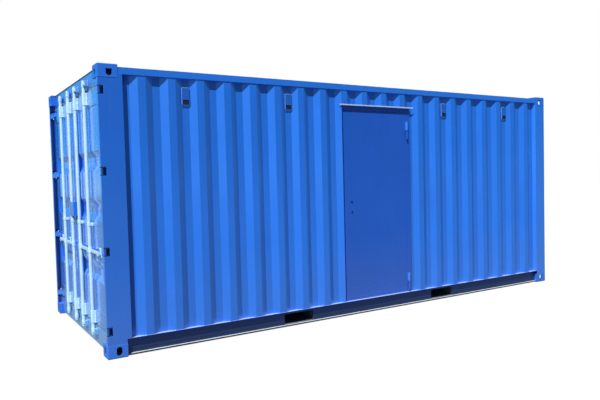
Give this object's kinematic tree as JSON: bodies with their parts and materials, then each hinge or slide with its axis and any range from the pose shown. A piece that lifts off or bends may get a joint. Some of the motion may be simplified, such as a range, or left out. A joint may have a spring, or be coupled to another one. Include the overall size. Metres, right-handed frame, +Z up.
{
  "type": "shipping container",
  "caption": "Steel freight container with corrugated walls, double cargo doors with lock bars at one end and a personnel door in one long side.",
  "frame": {"origin": "middle of the underside, on the ground", "axes": "+X along the length, away from the cargo doors; +Y away from the personnel door; +Z up"},
  "size_m": [6.058, 2.438, 2.591],
  "materials": {
    "blue_paint": "semi-gloss blue paint over steel, a little dusty",
    "underframe_paint": "dull dark paint on the underframe",
    "galvanised_steel": "zinc-coated steel, satin",
    "door_rubber": "matt black rubber seal",
    "plywood": "sealed plywood boards",
    "vent_plastic": "matt blue plastic",
    "lock_steel": "brushed steel lock rose"
  },
  "bodies": {
    "container": {"top_corner_fittings": "blue_paint", "bottom_corner_fittings": "blue_paint", "rear_post_right": "blue_paint", "rear_post_left": "blue_paint", "front_post_right": "blue_paint", "front_post_left": "blue_paint", "top_side_rails": "blue_paint", "bottom_side_rails": "blue_paint", "door_header": "blue_paint", "door_sill": "blue_paint", "front_top_rail": "blue_paint", "front_bottom_rail": "blue_paint", "cross_members": "underframe_paint", "fork_pockets": "underframe_paint", "floor": "plywood", "side_wall_rear_part": "blue_paint", "side_wall_over_door": "blue_paint", "side_wall_front_part": "blue_paint", "side_wall_left": "blue_paint", "front_wall": "blue_paint", "roof": "blue_paint", "ventilators": "vent_plastic", "cargo_hinge_lugs": "blue_paint", "cam_keepers": "galvanised_steel", "side_door_frame": "blue_paint"},
    "left_leaf": {"left_leaf_frame": "blue_paint", "left_leaf_panel": "blue_paint", "left_leaf_gasket": "door_rubber", "left_hinge_blades": "blue_paint", "left_bar_guides": "galvanised_steel", "left_handle_catches": "galvanised_steel", "lock_box": "blue_paint"},
    "right_leaf": {"right_leaf_frame": "blue_paint", "right_leaf_panel": "blue_paint", "right_leaf_gasket": "door_rubber", "right_hinge_blades": "blue_paint", "right_bar_guides": "galvanised_steel", "right_handle_catches": "galvanised_steel"},
    "bar_1": {"lock_bar_1": "galvanised_steel"},
    "bar_2": {"lock_bar_2": "galvanised_steel"},
    "bar_3": {"lock_bar_3": "galvanised_steel"},
    "bar_4": {"lock_bar_4": "galvanised_steel"},
    "side_door": {"side_door_leaf": "blue_paint", "side_door_hinges": "blue_paint", "side_door_lock": "lock_steel"}
  },
  "joints": [
    {"name": "right_leaf_hinge", "type": "hinge", "parent": "container", "child": "right_leaf", "pos_m": [-3.015, -1.205, 1.3035], "axis": [0, 0, 1], "range_deg": [0, 260]},
    {"name": "left_leaf_hinge", "type": "hinge", "parent": "container", "child": "left_leaf", "pos_m": [-3.015, 1.205, 1.3035], "axis": [0, 0, -1], "range_deg": [0, 260]},
    {"name": "bar_1_turn", "type": "hinge", "parent": "left_leaf", "child": "bar_1", "pos_m": [-3.008, 0.594, 1.3], "axis": [0, 0, -1], "range_deg": [-100, 0]},
    {"name": "bar_2_turn", "type": "hinge", "parent": "left_leaf", "child": "bar_2", "pos_m": [-3.008, 0.172, 1.3], "axis": [0, 0, -1], "range_deg": [-100, 0]},
    {"name": "bar_3_turn", "type": "hinge", "parent": "right_leaf", "child": "bar_3", "pos_m": [-3.008, -0.172, 1.3], "axis": [0, 0, 1], "range_deg": [-100, 0]},
    {"name": "bar_4_turn", "type": "hinge", "parent": "right_leaf", "child": "bar_4", "pos_m": [-3.008, -0.594, 1.3], "axis": [0, 0, 1], "range_deg": [-100, 0]},
    {"name": "side_door_hinge", "type": "hinge", "parent": "container", "child": "side_door", "pos_m": [0.4875, -1.204, 1.235], "axis": [0, 0, 1], "range_deg": [0, 175]}
  ]
}
